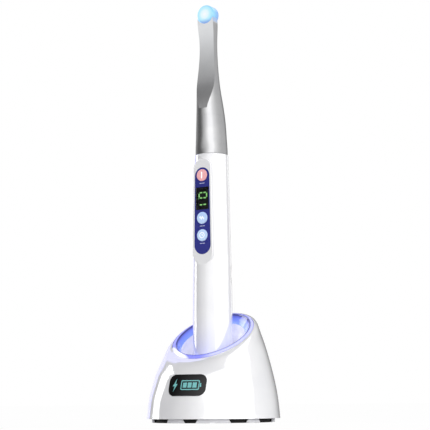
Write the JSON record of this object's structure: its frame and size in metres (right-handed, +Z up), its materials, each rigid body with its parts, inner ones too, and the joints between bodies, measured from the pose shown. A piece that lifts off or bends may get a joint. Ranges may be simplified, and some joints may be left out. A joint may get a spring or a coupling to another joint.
{
  "type": "dental curing light",
  "caption": "Cordless pen-type dental curing light with a metal head and lit lens, resting upright in a domed white charging stand.",
  "frame": {"origin": "centre of the stand's footprint, on the surface it stands on", "axes": "+Z up along the handpiece; -Y is the front, where the control panel, the lens and the badge plate face; +X is the right-hand side as seen from the front"},
  "size_m": [0.0864, 0.0864, 0.277],
  "materials": {
    "white_shell": "glossy",
    "white_cup": "glossy",
    "satin_metal": "satin, fine blasted",
    "lens": "frosted, lit from inside",
    "navy_film": "smooth film",
    "pink_button": "soft satin",
    "blue_button": "soft satin",
    "black_window": "smoked gloss",
    "black_plastic": "moulded",
    "green_digits": "lit",
    "dark_digits": "unlit",
    "circuit_board": "solder mask",
    "light_board": "white solder mask",
    "steel": "turned",
    "grey_plastic": "moulded",
    "cell_wrap": "shrink film",
    "gold": "plated",
    "emitter": "clear dome",
    "copper": "bare copper",
    "lead_cover": "insulated wire",
    "black_rubber": "moulded",
    "badge_black": "high gloss",
    "badge_teal": "printed",
    "ring_blue": "tinted gloss",
    "iron": "as cast"
  },
  "bodies": {
    "stand": {"stand_shell": "white_shell", "badge_plate": "badge_black", "badge_icon": "badge_teal", "light_ring": "ring_blue", "ring_light_board": "circuit_board", "ring_leds": "emitter", "socket_cup": "white_cup", "cup_screws": "steel", "base_plate": "grey_plastic", "rubber_feet": "black_rubber", "base_screws": "steel", "ballast": "iron", "charging_board": "circuit_board", "charging_parts": "black_plastic", "pin_block": "black_plastic", "pin_barrels": "gold", "pin_spring_left": "steel", "pin_spring_right": "steel", "dc_inlet": "black_plastic", "inlet_pin": "gold"},
    "handpiece": {"handle_housing": "white_shell", "keypad_panel": "navy_film", "display_window": "black_window", "display_module": "black_plastic", "lit_segments": "green_digits", "dark_segments": "dark_digits", "main_board": "circuit_board", "tactile_switches": "black_plastic", "board_parts": "black_plastic", "buzzer": "black_plastic", "board_screws": "steel", "inner_chassis": "grey_plastic", "battery_cell": "cell_wrap", "cell_contact": "gold", "battery_spring": "steel", "tail_cap": "white_shell", "charging_contacts": "gold", "head_socket": "steel", "socket_contact": "gold"},
    "head": {"head_sleeve": "satin_metal", "head_neck": "satin_metal", "lens_cover": "lens", "reflector": "steel", "led_emitter": "emitter", "led_board": "light_board", "heat_slug": "copper", "heat_pipe": "copper", "led_leads": "lead_cover", "head_spigot": "satin_metal", "head_seal": "black_rubber", "head_pin": "gold", "pin_insulator": "black_plastic"},
    "power_button": {"power_button": "pink_button"},
    "mode_button": {"mode_button": "blue_button"},
    "timer_button": {"timer_button": "blue_button"},
    "charge_pin_left": {"charge_pin_left": "gold"},
    "charge_pin_right": {"charge_pin_right": "gold"}
  },
  "joints": [
    {"name": "handpiece_lift", "type": "slide", "parent": "stand", "child": "handpiece", "axis": [0, 0, 1], "range_m": [0, 0.06]},
    {"name": "head_turn", "type": "hinge", "parent": "handpiece", "child": "head", "pos_m": [0, 0, 0.1754], "axis": [0, 0, 1], "continuous": true},
    {"name": "power_press", "type": "slide", "parent": "handpiece", "child": "power_button", "axis": [0, 1, 0], "range_m": [0, 0.0004], "stiffness_N_per_m": 2000},
    {"name": "mode_press", "type": "slide", "parent": "handpiece", "child": "mode_button", "axis": [0, 1, 0], "range_m": [0, 0.0004], "stiffness_N_per_m": 2000},
    {"name": "timer_press", "type": "slide", "parent": "handpiece", "child": "timer_button", "axis": [0, 1, 0], "range_m": [0, 0.0004], "stiffness_N_per_m": 2000},
    {"name": "pin_left_press", "type": "slide", "parent": "stand", "child": "charge_pin_left", "axis": [0, 0, -1], "range_m": [0, 0.0008], "stiffness_N_per_m": 800, "deforming": ["pin_spring_left"]},
    {"name": "pin_right_press", "type": "slide", "parent": "stand", "child": "charge_pin_right", "axis": [0, 0, -1], "range_m": [0, 0.0008], "stiffness_N_per_m": 800, "deforming": ["pin_spring_right"]}
  ]
}
